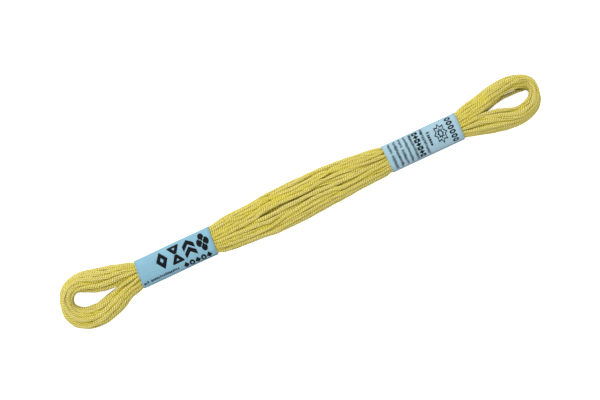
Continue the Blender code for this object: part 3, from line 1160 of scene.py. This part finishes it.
def right_print(middle):
    """The marks of the right band, in rows that run across it."""
    rng = np.random.default_rng(57)
    marks = []
    for x in (31.95, 33.8, 35.55, 37.3, 39.1):
        marks += dash_row(x, middle, 8.8, 1.0, 0.6, rng, upright=True)
    for index in range(7):
        y = middle + (index - 3) * 1.25
        if index % 2:
            marks.append(star(40.8, y, 2.0, 1.3, 4, 0.6))
        else:
            marks += [shape(40.8, y, 1.9, 1.1, BOX), shape(40.8, y, 0.6, 0.3, BOX)]
    marks += dash_row(42.9, middle, 8.8, 0.95, 0.55, rng, upright=True)
    marks += dash_row(44.6, middle + 0.3, 4.8, 1.0, 0.8, rng, upright=True)
    for across, tall, inner in ((4.5, 6.9, 0.66), (3.5, 5.5, 0.66), (2.4, 3.8, 0.58), (1.2, 2.1, 0.58)):
        marks.append(star(48.45, middle + 0.3, across, tall, 8, inner))
    for index in range(6):
        y = middle + (index - 2.5) * 1.45
        marks += [ellipse(52.1, y, 2.1, 1.25, 16), ellipse(52.1, y, 0.95, 0.42, 12)]
    return marks


# ---------------------------------------------------------------- the paper bands


Wrap = namedtuple("Wrap", "y z normal_y normal_z reach top_line")


def wrapped_outline(band):
    """The outer face of a band, from the seam over the top and round to the seam again."""
    angles = np.radians(SEAM_ANGLE_DEG) + np.linspace(0, 2 * math.pi, WRAP_PLACES)
    power = 2 / BAND_SQUARENESS
    half_width = (band.back - band.front) / 2
    half_height = (BAND_TOP + FLAT_SINK) / 2
    side, up = np.sin(angles), np.cos(angles)
    y = (band.front + band.back) / 2 + np.sign(side) * np.abs(side) ** power * half_width
    z = np.maximum(BAND_TOP - half_height + np.sign(up) * np.abs(up) ** power * half_height, 0.0)
    step_y, step_z = np.gradient(y), np.gradient(z)
    size = np.maximum(np.hypot(step_y, step_z), 1e-9)
    reach = np.concatenate([[0], np.cumsum(np.hypot(np.diff(y), np.diff(z)))])
    return Wrap(y, z, -step_z / size, step_y / size, reach, np.interp(0.0, angles, reach))


def strip_edges(band, wrap, round_the_band):
    """Where the two edges of the strip of paper lie at some places round the band."""
    y = np.interp(round_the_band % wrap.reach[-1], wrap.reach, wrap.y)
    return band.left + band.left_slant * y, band.right + band.right_slant * y


def inside_marks(places, marks):
    """Which places lie on the ink: inside an odd number of the marks' loops."""
    x, y = places.T
    crossings = np.zeros(len(places), dtype=int)
    for loop in marks:
        for (x0, y0), (x1, y1) in zip(loop, np.roll(loop, -1, axis=0)):
            spans = (y0 > y) != (y1 > y)
            if spans.any():
                crossings += spans & (x < x0 + (y - y0) / (y1 - y0) * (x1 - x0))
    return crossings % 2 == 1


def cut_strip(band, wrap, marks):
    """The flat strip of paper as triangles whose edges follow its marks."""
    rows = np.linspace(-GLUED_OVERLAP, wrap.reach[-1], STRIP_ROWS)
    left, right = strip_edges(band, wrap, rows)
    columns = np.linspace(0, 1, STRIP_COLUMNS)
    grid = np.stack([
        left[:, None] + (right - left)[:, None] * columns,
        np.repeat(rows[:, None], STRIP_COLUMNS, axis=1),
    ], axis=2)
    rim = np.concatenate([grid[0], grid[1:, -1], grid[-1, -2::-1], grid[-2:0:-1, 0]])
    inner = grid[1:-1, 1:-1].reshape(-1, 2)
    corners = np.vstack(marks)
    clear = [np.abs(corners - place).sum(axis=1).min() >= CLEAR_OF_MARKS for place in inner]
    inner = inner[clear]
    places = np.vstack([rim, inner, corners])
    edges = []
    first = 0
    for loop, skipped in [(rim, len(inner))] + [(loop, 0) for loop in marks]:
        edges += [(first + i, first + (i + 1) % len(loop)) for i in range(len(loop))]
        first += len(loop) + skipped
    found, _, faces, _, _, _ = delaunay_2d_cdt([tuple(place) for place in places], edges, [], 0, 1e-5)
    found, faces = np.array([tuple(place) for place in found]), np.array(faces)
    middles = found[faces].mean(axis=1)
    edge_left, edge_right = strip_edges(band, wrap, middles[:, 1])
    kept = (middles[:, 0] > edge_left) & (middles[:, 0] < edge_right)
    (x1, y1), (x2, y2) = ((found[faces[:, i]] - found[faces[:, 0]]).T for i in (1, 2))
    spread = x1 * y2 - y1 * x2
    kept &= np.abs(spread) > SMALLEST_TRIANGLE
    faces = np.where((spread < 0)[:, None], faces[:, ::-1], faces)
    return found, faces[kept]


def paper_lift(band, wrap, places, rng):
    """How far the paper stands out from the band's plain outline.

    It is wrinkled over the threads, and its cut edges stand up. Its inner end is tucked down,
    and its outer end lies over that.
    """
    x, around = places.T
    lift = np.zeros(len(places))
    for _ in range(WRINKLES):
        pitch = rng.uniform(0.9, 2.6)
        drift = rng.uniform(-0.25, 0.25)
        lift += WRINKLE_HEIGHT * np.cos(2 * math.pi * around / pitch + drift * x + rng.uniform(0, 6.3))
    for _ in range(SWELLS):
        swell = rng.uniform(0.1, 0.35) * x + rng.uniform(0.1, 0.5) * around + rng.uniform(0, 6.3)
        lift += SWELL_HEIGHT * np.cos(swell)
    share = (x - band.left) / (band.right - band.left)
    edge = np.minimum(share, 1 - share) * (band.right - band.left)
    lift += EDGE_LIFT * np.exp(-edge / EDGE_REACH) * (0.6 + 0.4 * np.cos(0.8 * around + 1.0))
    lift -= TUCK_DEPTH * (1 - eased((around - TUCK_START) / TUCK_LENGTH))
    lift += (PAPER_THICKNESS + GLUE_ROOM) * eased((around - wrap.reach[-1] + GLUED_RISE) / GLUED_RISE)
    return lift


def band_map(flat, faces, walls):
    """Lays out a band's outer layer, and beside it its inner layer and its cut edges."""
    low, high = flat.min(axis=0), flat.max(axis=0)
    unit_places = (flat - low) / (high - low)
    corners = np.array((((0.1, 0.1), (0.9, 0.1), (0.9, 0.9), (0.1, 0.9)),))
    laid = []
    for start, found, width in (
        (0.005, unit_places[faces], 0.72),
        (0.735, unit_places[faces[:, ::-1]], 0.16),
        (0.905, in_cells(len(walls), corners), 0.09),
    ):
        laid.append(((start, 0.005) + found * (width, 0.99)).reshape(-1, 2))
    return np.vstack(laid)


def band_piece(band, marks_of, surfaces, seed):
    """One paper band: a printed strip wrapped round the hank and glued to itself.

    The surfaces are those of the printed side, the ink and the bare paper.
    """
    wrap = wrapped_outline(band)
    marks = marks_of(wrap.top_line)
    flat, faces = cut_strip(band, wrap, marks)
    lift = paper_lift(band, wrap, flat, np.random.default_rng(seed))
    end = wrap.reach[-1]
    around = np.where(flat[:, 1] >= end, end, flat[:, 1] % end)
    y, z, normal_y, normal_z = (np.interp(around, wrap.reach, column) for column in wrap[:4])
    layers = []
    for depth in (0.0, PAPER_THICKNESS):
        away = lift - depth
        height = np.maximum(z + normal_z * away, depth)
        layers.append(np.stack([flat[:, 0], y + normal_y * away, height], axis=1))
    count = len(flat)
    edges = [edge for a, b, c in faces for edge in ((a, b), (b, c), (c, a))]
    known = set(edges)
    walls = [np.array((b, a, a + count, b + count)) for a, b in edges if (b, a) not in known]
    inked = inside_marks(flat[faces].mean(axis=1), marks)
    all_faces = list(faces) + list(faces[:, ::-1] + count) + walls
    piece = new_mesh(band.name + "_paper", np.vstack(layers), all_faces, surfaces)
    add_map(piece, "OFBake", band_map(flat, faces, walls))
    kinds = np.concatenate([inked, np.full(len(faces) + len(walls), 2)])
    piece.data.polygons.foreach_set("material_index", kinds.astype(np.int32))
    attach(piece, "root")
    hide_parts(band.name)
    return piece, end + GLUED_OVERLAP


# ---------------------------------------------------------------- the studio

FLOOR_HALF = 3000.0
FLOOR_HEIGHT = -0.05


def studio_camera():
    """Looks straight down, so that the hank rises to the right across the frame."""
    data = bpy.data.cameras.new("camera")
    made = new_object("camera", data)
    distance, half_height, frame_width = 0.62, 0.0035, 0.1876
    made.location = (0.0, 0.0, distance)
    made.rotation_euler = (0.0, 0.0, math.radians(-25.1))
    data.lens = data.sensor_width * (distance - half_height) / frame_width
    data.clip_start = 0.01
    bpy.context.scene.camera = made


def studio_light(name, place, size, watts, colour):
    """A round soft light that points at the middle of the hank."""
    data = bpy.data.lights.new(name, "AREA")
    data.shape = "DISK"
    data.size = size
    data.energy = watts
    data.color = colour
    made = new_object(name, data)
    made.location = place
    made.rotation_euler = (-Vector(place)).to_track_quat("-Z", "Y").to_euler()


def studio(mottle, grain):
    """A white board, even light all round and one soft light from the upper left."""
    world = bpy.data.worlds.new("studio")
    world.use_nodes = True
    background = world.node_tree.nodes["Background"]
    fill(world.node_tree, background, Color=(1.0, 1.0, 1.0, 1.0), Strength=0.78)
    bpy.context.scene.world = world
    bpy.context.scene.view_settings.view_transform = "Standard"
    studio_light("soft_light", (-0.25, 0.7, 0.9), 0.7, 7.3, (1.0, 0.99, 0.97))
    corners = np.array([(x * FLOOR_HALF, y * FLOOR_HALF, FLOOR_HEIGHT) for x, y in BOX])
    floor = new_mesh("floor", corners, np.array(((0, 1, 2, 3),)), [floor_surface(mottle, grain)])


def main():
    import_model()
    studio_camera()
    mottle, grain = soft_mottle_group(), fine_grain_group()
    turns, roots = floss_pieces(floss_surface(mottle))
    loose_fibres(roots, loose_fibre_surface(mottle))
    blue = paper_surface("pale_blue_paper", (0.222, 0.438, 0.555), (0.200, 0.408, 0.53), mottle, grain)
    faded = paper_surface("faded_blue_paper", (0.350, 0.520, 0.605), (0.300, 0.475, 0.575), mottle, grain)
    ink, bare = ink_surface(mottle, grain), bare_paper_surface(mottle, grain)
    for band, marks_of, paper, seed in (
        (LEFT_BAND, left_print, blue, 3),
        (RIGHT_BAND, right_print, faded, 4),
    ):
        piece, length = band_piece(band, marks_of, [paper, ink, bare], seed)
    studio(mottle, grain)


main()
